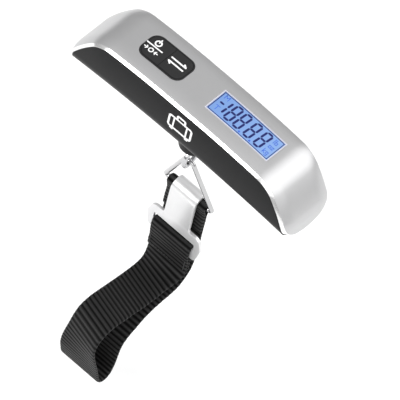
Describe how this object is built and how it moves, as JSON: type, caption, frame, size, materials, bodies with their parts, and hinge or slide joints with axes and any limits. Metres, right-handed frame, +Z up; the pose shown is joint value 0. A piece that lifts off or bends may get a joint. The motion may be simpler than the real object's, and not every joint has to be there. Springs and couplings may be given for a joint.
{
  "type": "digital luggage scale",
  "caption": "Hand-held hanging scale: a bowed handle with display and keys, a swivelling ring, a flat hook and a webbing loop.",
  "frame": {"origin": "middle of the flat land on the handle's top face, between the keys and the display", "axes": "+Z up out of the display face, against the pull of the strap; +X along the handle from the keys to the display; +Y to the far side of the handle, where the tops of the digits point"},
  "size_m": [0.1614, 0.0815, 0.2098],
  "materials": {
    "silver_shell": "satin silver",
    "black_housing": "satin",
    "key_plastic": "satin",
    "display_window": "clear",
    "display_glass": "blue backlit",
    "white_plastic": "satin",
    "elastomer": "matt",
    "board_green": "solder mask",
    "steel": "plated",
    "ring_steel": "bright plated wire",
    "hook_steel": "satin chrome",
    "spring_brass": "spring",
    "cell_aluminium": "milled",
    "gauge_film": "film",
    "lead_red": "insulation",
    "lead_black": "insulation",
    "webbing": "ribbed nylon webbing"
  },
  "bodies": {
    "handle": {"top_shell": "silver_shell", "base_housing": "black_housing", "neck_collar": "black_housing", "housing_screw_1": "steel", "housing_screw_2": "steel", "housing_screw_3": "steel", "housing_screw_4": "steel", "keypad_bezel": "key_plastic", "power_switch": "white_plastic", "unit_switch": "white_plastic", "lcd_lens": "display_window", "lcd_panel": "display_glass", "lcd_backlight": "white_plastic", "lcd_frame": "white_plastic", "zebra_strip": "elastomer", "circuit_board": "board_green", "controller_chip": "key_plastic", "board_screw_1": "steel", "board_screw_2": "steel", "battery_holder": "black_housing", "coin_cell": "steel", "battery_contact_positive": "spring_brass", "battery_contact_negative": "spring_brass", "load_cell": "cell_aluminium", "load_cell_screw_1": "steel", "load_cell_screw_2": "steel", "strain_gauge": "gauge_film", "thrust_washer": "steel", "load_cell_cable": "white_plastic", "battery_lead_positive": "lead_red", "battery_lead_negative": "lead_black"},
    "power_key": {"power_key": "key_plastic"},
    "unit_key": {"unit_key": "key_plastic"},
    "battery_door": {"battery_door": "black_housing"},
    "load_eye": {"load_eye": "steel", "shaft_nut": "steel"},
    "ring": {"wire_ring": "ring_steel"},
    "strap": {"strap_loop": "webbing"},
    "hook": {"hook_plate": "hook_steel", "strap_hook_end": "webbing"}
  },
  "joints": [
    {"name": "power_press", "type": "slide", "parent": "handle", "child": "power_key", "axis": [0, 0, -1], "range_m": [0, 0.0005], "stiffness_N_per_m": 800},
    {"name": "unit_press", "type": "slide", "parent": "handle", "child": "unit_key", "axis": [0, 0, -1], "range_m": [0, 0.0005], "stiffness_N_per_m": 800},
    {"name": "battery_door_tilt", "type": "hinge", "parent": "handle", "child": "battery_door", "pos_m": [0.02835, 0, -0.03817], "axis": [0, 1, 0], "range_deg": [0, 70]},
    {"name": "eye_swivel", "type": "hinge", "parent": "handle", "child": "load_eye", "pos_m": [0, 0, -0.0571], "axis": [0, 0, 1], "continuous": true},
    {"name": "ring_swing", "type": "hinge", "parent": "load_eye", "child": "ring", "pos_m": [0, 0, -0.0635], "axis": [1, 0, 0], "range_deg": [-45, 45]},
    {"name": "strap_swing", "type": "hinge", "parent": "ring", "child": "strap", "pos_m": [0, 0.0085, -0.1011], "axis": [1, 0, 0], "range_deg": [-30, 45]},
    {"name": "hook_lift", "type": "slide", "parent": "strap", "child": "hook", "axis": [0, 0, 1], "range_m": [0, 0.009]}
  ]
}
